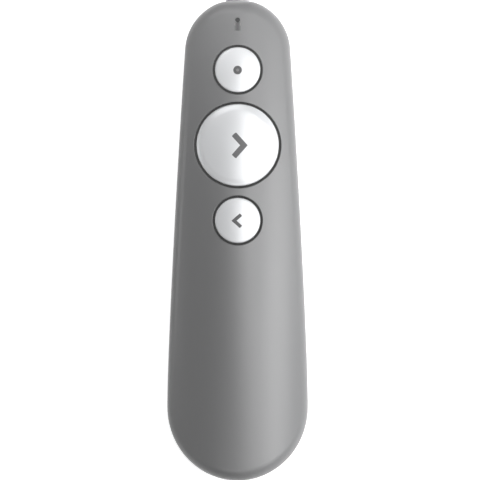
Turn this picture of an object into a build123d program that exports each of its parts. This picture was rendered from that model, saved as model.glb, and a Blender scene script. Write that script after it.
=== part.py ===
"""Wireless presentation clicker: a pebble-shaped remote with a laser pointer, three buttons, a battery
bay with a slide-off door and a stored USB receiver.

Millimetres. The clicker lies on its belly: +Y is the nose (laser) end, +X is its right side seen from
above, +Z is up. The origin is under the middle of the whole clicker, on the surface it lies on.
"""

import os
from math import asin, cos, radians, sin, sqrt, tan

from build123d import *

os.makedirs("parts", exist_ok=True)

# ---------------------------------------------------------------- driving dimensions
# Plan view of the pod
body_length = 130.0
body_width = 38.2
tail_length = 20.0  # the tail is half an ellipse this long
nose_radius = 14.3
nose_flat = 7.8  # width of the flat front before its corners are rounded
nose_corner = 8.0
side_splay = 3.8  # degrees by which the sides leave the nose
nose_handle = 33.0  # reach of the side curve's handles
tail_handle = 15.0

# Crown (top skin) and belly (bottom skin), each bowed both ways
crown_height = 26.0
crown_from_nose = 54.7
crown_fall = 6.87  # from the centre line out to the widest point
crown_along = 340.0
belly_rise = 6.87
belly_along = 600.0
belly_from_tail = 55.3
belly_cut = 1.5  # how much of the belly's bow the flat foot takes off
shoulder_radius = 4.0
keel_radius = 5.0

# Mouldings
wall = 1.8
parting_height = 11.0
lip_height = 1.2
lip_thickness = 0.8
lip_gap = 0.1
reveal_height = 0.3  # shadow line round the parting
reveal_depth = 0.35
fit_gap = 0.25  # between the cover and what stands up inside it
root = 0.3  # how far a rib runs into the skin that carries it
bow_share = 0.85  # half width of a bowed skin's profile, as a share of its radius

# Buttons
laser_from_nose = 18.6
button_pitch = 20.4
main_cap_radius = 11.15
small_cap_radius = 6.15
cap_gap = 0.55
hole_rim_edge = 0.2
main_cap_stand = 0.9  # height of a cap over the crown at its centre
small_cap_stand = 0.7
main_cap_across = 33.0
main_cap_along = 90.0
small_cap_across = 26.0
small_cap_along = 60.0
cap_edge = 0.45
cap_wall = 1.3
flange_reach = 1.05
flange_height = 1.0
flange_over_plunger = 0.95
collar_wall = 0.9
collar_gap = 0.3
stem_radius = 2.3
press_travel = 0.5

# Main board, switches and the frame between them and the buttons
board_thickness = 1.0
board_width = 21.0
board_over_bay = 1.5
board_from_bay = 2.9  # how far the board stops short of the bay's tail end
board_clearance = 0.8
leg_radius = 1.2
leg_inset = 1.5
leg_from_end = 4.0
nose_post_radius = 2.4
nose_post_inset = 2.5
nose_post_back = 8.0  # behind the laser button's centre
switch_side = 6.2
switch_corner = 0.5
switch_height = 1.7
plunger_radius = 1.6
plunger_gap = 0.1
plunger_stand = 0.8
frame_thickness = 0.8
frame_margin = 8.6  # how far the frame runs past the end buttons' centres
frame_leg_x = 7.6
frame_leg_back = 7.15  # the last pair of legs, behind the back button's centre
stop_gap = 0.05
stem_gap = 0.3
chip_side = 5.0
chip_height = 0.9
chip_from_end = 21.5
crystal_width = 2.5
crystal_length = 3.2
crystal_height = 0.8
crystal_corner = 0.4
crystal_pitch = 6.5
passive_length = 1.6
passive_width = 0.8
passive_height = 0.6
passive_pitch_x = 3.2
passive_pitch_y = 2.4
passive_back = 8.0  # behind the radio chip

# Status light
dot_from_nose = 5.06
dot_radius = 0.62
bar_width = 1.4
bar_length = 2.2
bar_from_nose = 5.75
lens_gap = 0.04
led_length = 1.6
led_width = 0.8
led_height = 0.7

# Laser
barrel_under_board = 0.1
barrel_radius = 2.9
barrel_length = 14.0
barrel_bore = 2.2
barrel_gap = 0.3  # between the barrel and the bezel's sleeve
laser_lens_thickness = 1.2
diode_radius = 2.6
diode_length = 2.3
driver_thickness = 1.2
driver_width = 7.0
driver_drop = 5.5
bezel_radius = 3.2
bezel_proud = 0.6
bezel_sleeve = 2.75
bezel_length = 2.5
bezel_lip = 2.2
window_radius = 2.5
window_thickness = 0.9
window_recess = 0.2
bezel_gap = 0.05
cradle_half = 5.0
cradle_thickness = 1.2
cradle_inset = 2.1
cradle_gap = 0.05

# AAA cells and their contacts
cell_radius = 5.25
cell_length = 44.5
nub_radius = 1.9
nub_height = 0.8
cell_between = 0.7
cell_over_door = 0.25
cell_roof_gap = 0.35
contact_thickness = 0.3
contact_width = 7.6
contact_height = 7.4
leaf_bow = 2.7
leaf_width = 4.0
leaf_gap = 0.05
tab_width = 2.0
tab_gap = 0.2
bay_side_gap = 0.75
bay_wall = 1.8
bay_roof = 1.2
bay_end_wall = 1.6

# Battery door
door_wall = 1.6
door_gap = 0.2
door_past_bay = 6.6  # how far the door runs on beyond the bay
door_rim = 4.6
door_roof = 1.15
door_roof_gap = 0.1
door_wing_reach = 1.4
door_wing_length = 10.3
rail_flange = 1.2
rail_level = 3.2
rail_height = 1.0
rail_reach = 0.9
rail_gap = 0.15
rail_from_front = 3.5
rail_from_tail = 15.3
latch_half = 2.2
latch_height = 0.7
latch_gap = 0.1
latch_reach = 1.5
latch_root = 2.0
grip_from_front = 8.0
grip_width = 12.0
grip_length = 8.0
grip_depth = 0.6
grip_ridge = 0.7

# USB receiver
receiver_width = 14.4
receiver_height = 6.1
receiver_cap_length = 6.7
receiver_corner = 1.2
receiver_gap = 0.15
receiver_inset = 0.3
plug_width = 12.0
plug_height = 4.5
plug_length = 12.0
plug_sheet = 0.3
plug_gap = 0.3
plug_window = 2.2
insulator_height = 1.9
strip_width = 1.0
strip_length = 8.0
strip_thickness = 0.15
strip_pitch = 2.2
nail_height = 0.9
nail_depth = 0.6
nail_width = 9.0
sleeve_wall = 1.1
sleeve_tail = 3.3  # how far the sleeve stops short of the tail

# Case screws, reached through the battery bay
screw_x = 10.0
screw_from_tail = 13.3
screw_shank = 0.9
screw_head = 1.5
screw_head_height = 1.2
screw_clearance = 0.1
screw_boss = 2.2
screw_bite = 3.5
screw_sink = 1.5  # from the roof over the door up to the screw's seat
screw_recess = 1.6

# ---------------------------------------------------------------- places worked out from them
tail_y = -(body_length + bezel_proud) / 2
nose_y = tail_y + body_length
crown_y = nose_y - crown_from_nose
crown_across = ((body_width / 2) ** 2 + crown_fall**2) / (2 * crown_fall)
belly_y = tail_y + belly_from_tail
belly_across = ((body_width / 2) ** 2 + belly_rise**2) / (2 * belly_rise)

laser_y = nose_y - laser_from_nose
main_y = laser_y - button_pitch
back_y = main_y - button_pitch

# receiver in the tail
roof_level = door_rim + door_roof_gap
roof_top = roof_level + door_roof
receiver_level = roof_top + receiver_gap + receiver_height / 2
receiver_tail = tail_y + receiver_inset
cap_front = receiver_tail + receiver_cap_length
plug_front = cap_front + plug_length
screw_y = tail_y + screw_from_tail
screw_seat = roof_level + screw_sink

# battery bay, ahead of the receiver's plug
bay_tail = plug_front + plug_gap + bay_end_wall
bay_nose = bay_tail + cell_length + leaf_bow + 2 * contact_thickness
cell_x = cell_radius + cell_between / 2
cell_level = door_wall + cell_over_door + cell_radius
bay_half = cell_x + cell_radius + bay_side_gap
bay_ceiling = cell_level + cell_radius + cell_roof_gap
bay_top = bay_ceiling + bay_roof
bay_outer = bay_half + bay_wall

# door under the bay
door_half = bay_half - door_gap
door_wing_half = door_half + door_wing_reach
door_wing_front = tail_y + door_wing_length
door_front = bay_nose + door_past_bay
rail_front = door_front - rail_from_front
rail_tail = tail_y + rail_from_tail
latch_level = wall + latch_gap
latch_top = latch_level + latch_height
grip_front = door_front - grip_from_front

# board on the bay, switches on the board, button frame over them
board_level = bay_top + board_over_bay
board_top = board_level + board_thickness
board_tail = bay_tail + board_from_bay
switch_top = board_top + switch_height
plunger_top = switch_top + plunger_stand
plunger_low = plunger_top - switch_height
flange_level = plunger_top + flange_over_plunger
frame_top = flange_level - press_travel - stop_gap
frame_level = frame_top - frame_thickness
collar_level = flange_level + flange_height + collar_gap
lens_level = board_top + led_height + fit_gap

# laser under the board
laser_level = board_level - barrel_under_board - barrel_radius
window_back = nose_y + bezel_proud - window_recess - window_thickness
barrel_front = nose_y - bezel_length - barrel_gap
barrel_back = barrel_front - barrel_length
diode_back = barrel_back - diode_length


# ---------------------------------------------------------------- shapes that several pieces share
def plan_outline(inset=0.0):
    """Plan view of the pod, moved inwards by inset: flat front, nose arc, long side curve, oval tail."""
    radius = nose_radius - inset
    centre_y = nose_y - sqrt(nose_radius**2 - (nose_flat / 2) ** 2)
    front_y = nose_y - inset
    front_half = sqrt(radius**2 - (front_y - centre_y) ** 2)
    splay = radians(side_splay)
    cheek = Vector(radius * cos(splay), centre_y + radius * sin(splay))
    side_way = Vector(sin(splay), -cos(splay))
    hip = Vector(body_width / 2 - inset, tail_y + tail_length)
    with BuildSketch(mode=Mode.PRIVATE) as plan:
        with BuildLine():
            Line((0, front_y), (front_half, front_y))
            RadiusArc((front_half, front_y), cheek, radius)
            Bezier(cheek, cheek + side_way * nose_handle, hip + Vector(0, tail_handle), hip)
            EllipticalCenterArc((0, hip.Y), hip.X, tail_length - inset, 0, arc_size=-90)
            mirror(about=Plane.YZ)
        make_face()
        front_corners = plan.vertices().sort_by(Axis.Y)[-2:]
        fillet(front_corners, nose_corner - inset)
    return plan.sketch


def bowed_ring(y, level, across, along, depth, side=1):
    """A ring whose skin is bowed both ways: radius across in x, radius along in y.

    Its highest point (side=1), or its lowest (side=-1), is at (0, y, level).
    The profile's bow is a cubic curve that follows the arc of radius across, drawn on the far side of
    the ring, which keeps every seam out of the pod.
    """
    axis_level = level - side * along
    far = axis_level - side * along
    spread = asin(bow_share)
    half = bow_share * across
    edge = far + side * across * (1 - cos(spread))
    handle = across * tan(spread / 2) * 4 / 3
    handle_x = half - handle * cos(spread)
    handle_level = edge - side * handle * sin(spread)
    with BuildPart() as ring:
        with BuildSketch(Plane.XZ.offset(-y)):
            with BuildLine():
                Bezier((-half, edge), (-handle_x, handle_level), (handle_x, handle_level), (half, edge))
                Line((half, edge), (half, far + side * depth))
                Line((half, far + side * depth), (-half, far + side * depth))
                Line((-half, far + side * depth), (-half, edge))
            make_face()
        revolve(axis=Axis((0, y, axis_level), (1, 0, 0)))
    return ring.part


def pod(inset=0.0):
    """The closed pebble shape, moved inwards by inset all round."""
    deep = 2 * crown_height
    crown = bowed_ring(crown_y, crown_height - inset, crown_across - inset, crown_along - inset, deep)
    belly = bowed_ring(belly_y, inset - belly_cut, belly_across - inset, belly_along - inset, deep, -1)
    with BuildPart() as body:
        with BuildSketch(Plane.XY.offset(-2 * belly_cut)):
            add(plan_outline(inset))
        extrude(amount=crown_height + 4 * belly_cut)
        add(crown, mode=Mode.INTERSECT)
        crown_skin = body.faces().filter_by(GeomType.REVOLUTION)
        fillet(crown_skin.edges(), shoulder_radius - inset)
        add(belly, mode=Mode.INTERSECT)
        belly_skin = body.faces().filter_by(GeomType.REVOLUTION).sort_by(Axis.Z)[0]
        fillet(belly_skin.edges(), keel_radius - inset)
        with BuildSketch(Plane.XY.offset(inset)):
            Rectangle(2 * body_width, 2 * body_length)
        extrude(amount=deep, mode=Mode.INTERSECT)
    return body.part


def slab(x_half, y_low, y_high, z_low, z_high, x_low=None, mode=Mode.ADD):
    """Adds or cuts a block between two levels; x runs from -x_half, or from x_low, to x_half."""
    start = -x_half if x_low is None else x_low
    with BuildSketch(Plane.XY.offset(z_low)) as footprint:
        with Locations(((start + x_half) / 2, (y_low + y_high) / 2)):
            Rectangle(x_half - start, y_high - y_low)
    extrude(footprint.sketch, amount=z_high - z_low, mode=mode)


def post(x, y, radius, z_low, z_high, mode=Mode.ADD):
    """Adds or cuts an upright round post."""
    with BuildSketch(Plane.XY.offset(z_low)) as footprint:
        with Locations((x, y)):
            Circle(radius)
    extrude(footprint.sketch, amount=z_high - z_low, mode=mode)


def rod(x, level, radius, y_low, y_high, mode=Mode.ADD):
    """Adds or cuts a round rod that lies along y."""
    with BuildSketch(Plane.XZ.offset(-y_low)) as end_face:
        with Locations((x, level)):
            Circle(radius)
    extrude(end_face.sketch, amount=y_low - y_high, mode=mode)


def crown_slope(y):
    """Sine of the crown's slope along y."""
    return (y - crown_y) / crown_along


def crown_at(y):
    """Height of the crown on the centre line."""
    return crown_height - crown_along + sqrt(crown_along**2 - (y - crown_y) ** 2)


outer = pod()
cavity = pod(wall)
cavity_clear = pod(wall + fit_gap)

with BuildPart() as above_parting:
    slab(body_width, 2 * tail_y, 2 * nose_y, parting_height, 2 * crown_height)
with BuildPart() as below_parting:
    slab(body_width, 2 * tail_y, 2 * nose_y, -belly_cut, parting_height)


def receiver_slot():
    """Cuts the tail slot that holds the receiver's cap."""
    half = receiver_width / 2 + receiver_gap
    slot_low = receiver_level - receiver_height / 2 - receiver_gap
    slot_high = receiver_level + receiver_height / 2 + receiver_gap
    slab(half, 2 * tail_y, cap_front + receiver_gap, slot_low, slot_high, mode=Mode.SUBTRACT)


def nose_bore():
    """Cuts the round hole for the bezel's sleeve through the nose."""
    bore_radius = bezel_sleeve + bezel_gap
    rod(0, laser_level, bore_radius, barrel_front, 2 * nose_y, mode=Mode.SUBTRACT)


buttons = {
    "laser": (laser_y, small_cap_radius, small_cap_stand, small_cap_across, small_cap_along),
    "next": (main_y, main_cap_radius, main_cap_stand, main_cap_across, main_cap_along),
    "back": (back_y, small_cap_radius, small_cap_stand, small_cap_across, small_cap_along),
}

# ---------------------------------------------------------------- top cover
dot_y = nose_y - dot_from_nose
bar_y = nose_y - bar_from_nose - bar_length / 2

# the room inside the cover, with the collars round the buttons and the screw bosses left standing
with BuildPart() as upper_void:
    add(cavity)
    for place_y, cap_radius, *_ in buttons.values():
        collar_radius = cap_radius + cap_gap + collar_wall
        post(0, place_y, collar_radius, collar_level, 2 * crown_height, mode=Mode.SUBTRACT)
    for side in (-1, 1):
        boss_x = side * screw_x
        post(boss_x, screw_y, screw_boss, parting_height, 2 * crown_height, mode=Mode.SUBTRACT)

with BuildPart() as top_cover:
    add(outer)
    add(upper_void.part, mode=Mode.SUBTRACT)
    add(above_parting.part, mode=Mode.INTERSECT)
    # the rebate that takes the case's lip, and the shadow line outside it
    with BuildSketch(Plane.XY.offset(parting_height)):
        add(plan_outline(wall - lip_thickness - lip_gap))
        add(plan_outline(wall + fit_gap), mode=Mode.SUBTRACT)
    extrude(amount=lip_height + lip_gap, mode=Mode.SUBTRACT)
    with BuildSketch(Plane.XY.offset(parting_height)):
        Rectangle(2 * body_width, 2 * body_length)
        add(plan_outline(reveal_depth), mode=Mode.SUBTRACT)
    extrude(amount=reveal_height, mode=Mode.SUBTRACT)
    for place_y, cap_radius, *_ in buttons.values():
        post(0, place_y, cap_radius + cap_gap, board_top, 2 * crown_height, mode=Mode.SUBTRACT)
        on_crown = top_cover.edges(Select.LAST).sort_by(Axis.Z)[-1]
        fillet(on_crown, hole_rim_edge)
    for side in (-1, 1):
        pilot_top = parting_height + screw_bite
        post(side * screw_x, screw_y, screw_shank, parting_height, pilot_top, mode=Mode.SUBTRACT)
    post(0, dot_y, dot_radius + lens_gap, board_top, 2 * crown_height, mode=Mode.SUBTRACT)
    bar_half = bar_width / 2 + lens_gap
    bar_low = bar_y - bar_length / 2 - lens_gap
    bar_high = bar_y + bar_length / 2 + lens_gap
    slab(bar_half, bar_low, bar_high, board_top, 2 * crown_height, mode=Mode.SUBTRACT)
    receiver_slot()
    nose_bore()
top_cover.part.label = "top_cover"
export_step(top_cover.part, "parts/top_cover.step")

# ---------------------------------------------------------------- bottom case
cradle_places = (barrel_back + cradle_inset, barrel_front - cradle_inset - cradle_thickness)

with BuildPart() as lower_fittings:
    # battery bay: side walls, end walls and roof
    slab(bay_outer, bay_tail - bay_end_wall, bay_nose + bay_end_wall, 0, bay_top)
    # roof over the door in front of and behind the bay, with a wall that ends it above the latch
    front_wall = door_front + door_gap + wall
    slab(bay_outer, bay_nose, front_wall, roof_level, roof_top)
    slab(bay_outer, door_front + door_gap, front_wall, rail_level, roof_top)
    slab(bay_outer, tail_y, bay_tail, roof_level, roof_top)
    for side in (-1, 1):
        wall_low = side * (bay_half + bay_outer) / 2 - bay_wall / 2
        slab(wall_low + bay_wall, tail_y, front_wall, 0, roof_top, wall_low)
        post(side * screw_x, screw_y, screw_boss, roof_level, parting_height)
        leg_x = side * (board_width / 2 - leg_inset)
        for leg_y in (board_tail + leg_from_end, bay_nose - leg_from_end):
            post(leg_x, leg_y, leg_radius, bay_ceiling, board_level)
        nose_post_x = side * (board_width / 2 - nose_post_inset)
        post(nose_post_x, laser_y - nose_post_back, nose_post_radius, 0, board_level)
    # sleeve round the stored receiver: wide round its cap, narrow round its plug
    sleeve_step = cap_front + receiver_gap + sleeve_wall
    sleeve_half = receiver_width / 2 + receiver_gap + sleeve_wall
    sleeve_top = receiver_level + receiver_height / 2 + receiver_gap + sleeve_wall
    slab(sleeve_half, tail_y + sleeve_tail, sleeve_step, roof_level, sleeve_top)
    plug_sleeve_top = receiver_level + plug_height / 2 + plug_gap + sleeve_wall
    slab(plug_width / 2 + plug_gap + sleeve_wall, sleeve_step, bay_tail, roof_level, plug_sleeve_top)
    # two cradles under the laser barrel
    for cradle_y in cradle_places:
        slab(cradle_half, cradle_y, cradle_y + cradle_thickness, 0, laser_level)

# below the parting the fittings grow out of the skin, above it they stand clear of the cover
with BuildPart() as lower_void:
    add(cavity)
    add(lower_fittings.part, mode=Mode.SUBTRACT)
with BuildPart() as standing_fittings:
    add(lower_fittings.part)
    add(cavity_clear, mode=Mode.INTERSECT)
    add(above_parting.part, mode=Mode.INTERSECT)

door_side = door_half + door_gap
wing_side = door_wing_half + door_gap
groove_side = door_side + rail_reach + rail_gap - (door_gap - rail_gap)

with BuildPart() as bottom_case:
    add(outer)
    add(lower_void.part, mode=Mode.SUBTRACT)
    add(below_parting.part, mode=Mode.INTERSECT)
    add(standing_fittings.part)
    with BuildSketch(Plane.XY.offset(parting_height)):
        add(plan_outline(wall - lip_thickness))
        add(plan_outline(wall), mode=Mode.SUBTRACT)
    extrude(amount=lip_height)
    # battery bay and the door's cut-out
    slab(bay_half, bay_tail, bay_nose, -belly_cut, bay_ceiling, mode=Mode.SUBTRACT)
    slab(door_side, 2 * tail_y, door_front + door_gap, -belly_cut, roof_level, mode=Mode.SUBTRACT)
    wing_front = door_wing_front + door_gap
    slab(wing_side, 2 * tail_y, wing_front, -belly_cut, roof_level, mode=Mode.SUBTRACT)
    rail_low = rail_level - rail_gap
    rail_high = rail_level + rail_height + rail_gap
    slab(groove_side, 2 * tail_y, rail_front + door_gap, rail_low, rail_high, mode=Mode.SUBTRACT)
    receiver_slot()
    plug_low = receiver_level - plug_height / 2 - plug_gap
    plug_high = receiver_level + plug_height / 2 + plug_gap
    plug_half = plug_width / 2 + plug_gap
    slab(plug_half, cap_front, plug_front + plug_gap, plug_low, plug_high, mode=Mode.SUBTRACT)
    nose_bore()
    rod(0, laser_level, barrel_radius + cradle_gap, barrel_back, barrel_front, mode=Mode.SUBTRACT)
    for side in (-1, 1):
        hole_radius = screw_shank + screw_clearance
        head_radius = screw_head + screw_clearance
        post(side * screw_x, screw_y, hole_radius, roof_level, parting_height, mode=Mode.SUBTRACT)
        post(side * screw_x, screw_y, head_radius, roof_level, screw_seat, mode=Mode.SUBTRACT)
    # slots that let the contact tabs up to the board
    for tab_x in (-cell_x, cell_x):
        slot_low = tab_x - tab_width / 2 - tab_gap
        slot_high = tab_x + tab_width / 2 + tab_gap
        slot_back = bay_nose - 2 * contact_thickness
        slab(slot_high, slot_back, bay_nose, cell_level, board_level, slot_low, mode=Mode.SUBTRACT)
bottom_case.part.label = "bottom_case"
export_step(bottom_case.part, "parts/bottom_case.step")

# ---------------------------------------------------------------- battery door
door_inside = pod(door_wall)
door_rooting = pod(root)

with BuildPart() as door_region:
    slab(door_half, 2 * tail_y, door_front, -belly_cut, door_rim)
    slab(door_wing_half, 2 * tail_y, door_wing_front, -belly_cut, door_rim)

with BuildPart() as door_rails:
    for side in (-1, 1):
        flange_low = side * (door_half - rail_flange / 2) - rail_flange / 2
        slab(flange_low + rail_flange, rail_tail, rail_front, 0, rail_level + rail_height, flange_low)
        tongue_low = side * (door_half + rail_reach / 2) - rail_reach / 2
        tongue_top = rail_level + rail_height
        slab(tongue_low + rail_reach, rail_tail, rail_front, rail_level, tongue_top, tongue_low)
    slab(latch_half, door_front - latch_root, door_front + latch_reach, latch_level, latch_top)
    slab(latch_half, door_front - latch_root, door_front, 0, latch_top)
    add(door_rooting, mode=Mode.INTERSECT)

with BuildPart() as battery_door:
    add(outer)
    add(door_inside, mode=Mode.SUBTRACT)
    add(door_region.part, mode=Mode.INTERSECT)
    add(door_rails.part)
    # thumb recess with three ridges left standing in it
    with BuildSketch(Plane.XY):
        with Locations((0, grip_front - grip_length / 2)):
            Ellipse(grip_width / 2, grip_length / 2)
            with GridLocations(0, grip_length / 4, 1, 3):
                Rectangle(grip_width, grip_ridge, mode=Mode.SUBTRACT)
    extrude(amount=grip_depth, mode=Mode.SUBTRACT)
battery_door.part.label = "battery_door"
export_step(battery_door.part, "parts/battery_door.step")


# ---------------------------------------------------------------- buttons
for name, (place_y, cap_radius, stand, across, along) in buttons.items():
    slope = crown_slope(place_y)
    dome_y = place_y - along * slope
    dome_level = crown_at(place_y) + stand + along * (1 - sqrt(1 - slope**2))
    dome = bowed_ring(dome_y, dome_level, across, along, across)
    roof_across = across - cap_wall
    roof = bowed_ring(dome_y, dome_level - cap_wall, roof_across, along - cap_wall, across)
    with BuildPart() as hollow:
        post(0, place_y, cap_radius - cap_wall, flange_level - flange_height, 2 * crown_height)
        add(roof, mode=Mode.INTERSECT)
    with BuildPart() as button:
        post(0, place_y, cap_radius, flange_level, 2 * crown_height)
        add(dome, mode=Mode.INTERSECT)
        fillet(button.faces().filter_by(GeomType.REVOLUTION).edges(), cap_edge)
        post(0, place_y, cap_radius + flange_reach, flange_level, flange_level + flange_height)
        add(hollow.part, mode=Mode.SUBTRACT)
        post(0, place_y, stem_radius, plunger_top, crown_at(place_y) + stand - cap_wall / 2)
    button.part.label = name + "_button"
    export_step(button.part, "parts/" + name + "_button.step")

# ---------------------------------------------------------------- button frame
frame_nose = laser_y + frame_margin
frame_tail = back_y - frame_margin

with BuildPart() as button_frame:
    slab(board_width / 2, frame_tail, frame_nose, frame_level, frame_top)
    add(cavity_clear, mode=Mode.INTERSECT)
    for leg_y in ((laser_y + main_y) / 2, (main_y + back_y) / 2, back_y - frame_leg_back):
        for side in (-1, 1):
            post(side * frame_leg_x, leg_y, leg_radius, board_top, frame_level)
    for place_y, *_ in buttons.values():
        post(0, place_y, stem_radius + stem_gap, board_level, crown_height, mode=Mode.SUBTRACT)
button_frame.part.label = "button_frame"
export_step(button_frame.part, "parts/button_frame.step")

# ---------------------------------------------------------------- main board and what is soldered to it
with BuildPart() as main_board:
    with BuildSketch(Plane.XY.offset(board_level)):
        add(plan_outline(wall + board_clearance))
        board_middle = (board_tail + nose_y) / 2
        with Locations((0, board_middle)):
            Rectangle(board_width, nose_y - board_tail, mode=Mode.INTERSECT)
    extrude(amount=board_thickness)
main_board.part.label = "main_board"
export_step(main_board.part, "parts/main_board.step")

for name, (switch_y, *_) in buttons.items():
    with BuildPart() as switch:
        with BuildSketch(Plane.XY.offset(board_top)):
            with Locations((0, switch_y)):
                RectangleRounded(switch_side, switch_side, switch_corner)
        extrude(amount=switch_height)
        bore_low = plunger_low - press_travel - plunger_gap
        post(0, switch_y, plunger_radius + plunger_gap, bore_low, crown_height, mode=Mode.SUBTRACT)
    switch.part.label = name + "_switch"
    export_step(switch.part, "parts/" + name + "_switch.step")
    with BuildPart() as plunger:
        post(0, switch_y, plunger_radius, plunger_low, plunger_top)
    plunger.part.label = name + "_plunger"
    export_step(plunger.part, "parts/" + name + "_plunger.step")

chip_y = board_tail + chip_from_end
with BuildPart() as radio_chip:
    slab(chip_side / 2, chip_y - chip_side / 2, chip_y + chip_side / 2, board_top, board_top + chip_height)
radio_chip.part.label = "radio_chip"
export_step(radio_chip.part, "parts/radio_chip.step")

with BuildPart() as crystal:
    with BuildSketch(Plane.XY.offset(board_top)):
        with Locations((-crystal_pitch, chip_y)):
            RectangleRounded(crystal_width, crystal_length, crystal_corner)
    extrude(amount=crystal_height)
crystal.part.label = "crystal"
export_step(crystal.part, "parts/crystal.step")

with BuildPart() as passives:
    with BuildSketch(Plane.XY.offset(board_top)):
        with Locations((0, chip_y - passive_back)):
            with GridLocations(passive_pitch_x, passive_pitch_y, 4, 2):
                Rectangle(passive_length, passive_width)
    extrude(amount=passive_height)
passives.part.label = "passives"
export_step(passives.part, "parts/passives.step")

# ---------------------------------------------------------------- status light
with BuildPart() as status_led:
    with BuildSketch(Plane.XY.offset(board_top)):
        with Locations((0, dot_y - bar_length / 2)):
            Rectangle(led_length, led_width)
    extrude(amount=led_height)
status_led.part.label = "status_led"
export_step(status_led.part, "parts/status_led.step")

with BuildPart() as status_lens:
    post(0, dot_y, dot_radius, lens_level, crown_height)
    add(outer, mode=Mode.INTERSECT)
status_lens.part.label = "status_lens"
export_step(status_lens.part, "parts/status_lens.step")

with BuildPart() as light_bar:
    slab(bar_width / 2, bar_y - bar_length / 2, bar_y + bar_length / 2, lens_level, crown_height)
    post(0, dot_y, dot_radius + lens_gap, lens_level, crown_height, mode=Mode.SUBTRACT)
    add(outer, mode=Mode.INTERSECT)
light_bar.part.label = "light_bar"
export_step(light_bar.part, "parts/light_bar.step")

# ---------------------------------------------------------------- laser
with BuildPart() as nose_bezel:
    rod(0, laser_level, bezel_radius, nose_y, nose_y + bezel_proud)
    fillet(nose_bezel.edges().group_by(Axis.Y)[-1], bezel_proud / 2)
    rod(0, laser_level, bezel_sleeve, nose_y - bezel_length, nose_y)
    rod(0, laser_level, bezel_lip, nose_y - bezel_length, 2 * nose_y, mode=Mode.SUBTRACT)
    rod(0, laser_level, window_radius, window_back, 2 * nose_y, mode=Mode.SUBTRACT)
nose_bezel.part.label = "nose_bezel"
export_step(nose_bezel.part, "parts/nose_bezel.step")

with BuildPart() as laser_window:
    rod(0, laser_level, window_radius, window_back, window_back + window_thickness)
laser_window.part.label = "laser_window"
export_step(laser_window.part, "parts/laser_window.step")

lens_back = barrel_front - laser_lens_thickness
with BuildPart() as laser_barrel:
    rod(0, laser_level, barrel_radius, barrel_back, barrel_front)
    rod(0, laser_level, barrel_bore, barrel_back, barrel_front, mode=Mode.SUBTRACT)
laser_barrel.part.label = "laser_barrel"
export_step(laser_barrel.part, "parts/laser_barrel.step")

with BuildPart() as laser_lens:
    rod(0, laser_level, barrel_bore, lens_back, barrel_front)
laser_lens.part.label = "laser_lens"
export_step(laser_lens.part, "parts/laser_lens.step")

with BuildPart() as laser_diode:
    rod(0, laser_level, diode_radius, diode_back, barrel_back)
laser_diode.part.label = "laser_diode"
export_step(laser_diode.part, "parts/laser_diode.step")

with BuildPart() as laser_driver:
    driver_low = board_level - driver_drop
    slab(driver_width / 2, diode_back - driver_thickness, diode_back, driver_low, board_level)
laser_driver.part.label = "laser_driver"
export_step(laser_driver.part, "parts/laser_driver.step")


# ---------------------------------------------------------------- cells and contacts
def leaf_spring(x, plate_y, bow_way):
    """Adds a bowed strip that stands on a contact plate and presses on a cell's flat end."""
    reach = contact_height / 2 - contact_thickness
    crest = plate_y + bow_way * (leaf_bow - leaf_gap)
    inner_crest = crest - bow_way * contact_thickness
    inner_reach = reach - contact_thickness
    low = (plate_y, cell_level - reach)
    high = (plate_y, cell_level + reach)
    inner_low = (plate_y, cell_level - inner_reach)
    inner_high = (plate_y, cell_level + inner_reach)
    with BuildSketch(Plane.YZ.offset(x - leaf_width / 2)) as side_view:
        with BuildLine():
            ThreePointArc(low, (crest, cell_level), high)
            Line(high, inner_high)
            ThreePointArc(inner_high, (inner_crest, cell_level), inner_low)
            Line(inner_low, low)
        make_face()
    extrude(side_view.sketch, amount=leaf_width)


plate_nose = bay_nose - contact_thickness
plate_tail = bay_tail + contact_thickness
plate_low = cell_level - contact_height / 2
plate_high = cell_level + contact_height / 2

for name, cell_side, nub_end, nub_way in (
    ("cell_left", -cell_x, plate_nose, 1),
    ("cell_right", cell_x, plate_tail, -1),
):
    shoulder = nub_end - nub_way * nub_height
    far_end = nub_end - nub_way * cell_length
    with BuildPart() as battery:
        rod(cell_side, cell_level, cell_radius, min(shoulder, far_end), max(shoulder, far_end))
        rod(cell_side, cell_level, nub_radius, min(shoulder, nub_end), max(shoulder, nub_end))
    battery.part.label = name
    export_step(battery.part, "parts/" + name + ".step")

with BuildPart() as bridge_contact:
    slab(cell_x + contact_width / 2, bay_tail, plate_tail, plate_low, plate_high)
    leaf_spring(-cell_x, plate_tail, 1)
bridge_contact.part.label = "bridge_contact"
export_step(bridge_contact.part, "parts/bridge_contact.step")

with BuildPart() as plus_contact:
    plus_low = -cell_x - contact_width / 2
    slab(-cell_x + contact_width / 2, plate_nose, bay_nose, plate_low, plate_high, plus_low)
    tab_low = -cell_x - tab_width / 2
    slab(-cell_x + tab_width / 2, plate_nose, bay_nose, plate_high, board_level, tab_low)
plus_contact.part.label = "plus_contact"
export_step(plus_contact.part, "parts/plus_contact.step")

with BuildPart() as minus_contact:
    minus_low = cell_x - contact_width / 2
    slab(cell_x + contact_width / 2, plate_nose, bay_nose, plate_low, plate_high, minus_low)
    tab_low = cell_x - tab_width / 2
    slab(cell_x + tab_width / 2, plate_nose, bay_nose, plate_high, board_level, tab_low)
    leaf_spring(cell_x, plate_nose, -1)
minus_contact.part.label = "minus_contact"
export_step(minus_contact.part, "parts/minus_contact.step")

# ---------------------------------------------------------------- USB receiver
with BuildPart() as tail_prism:
    with BuildSketch(Plane.XY):
        add(plan_outline(receiver_inset))
    extrude(amount=crown_height)

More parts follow.
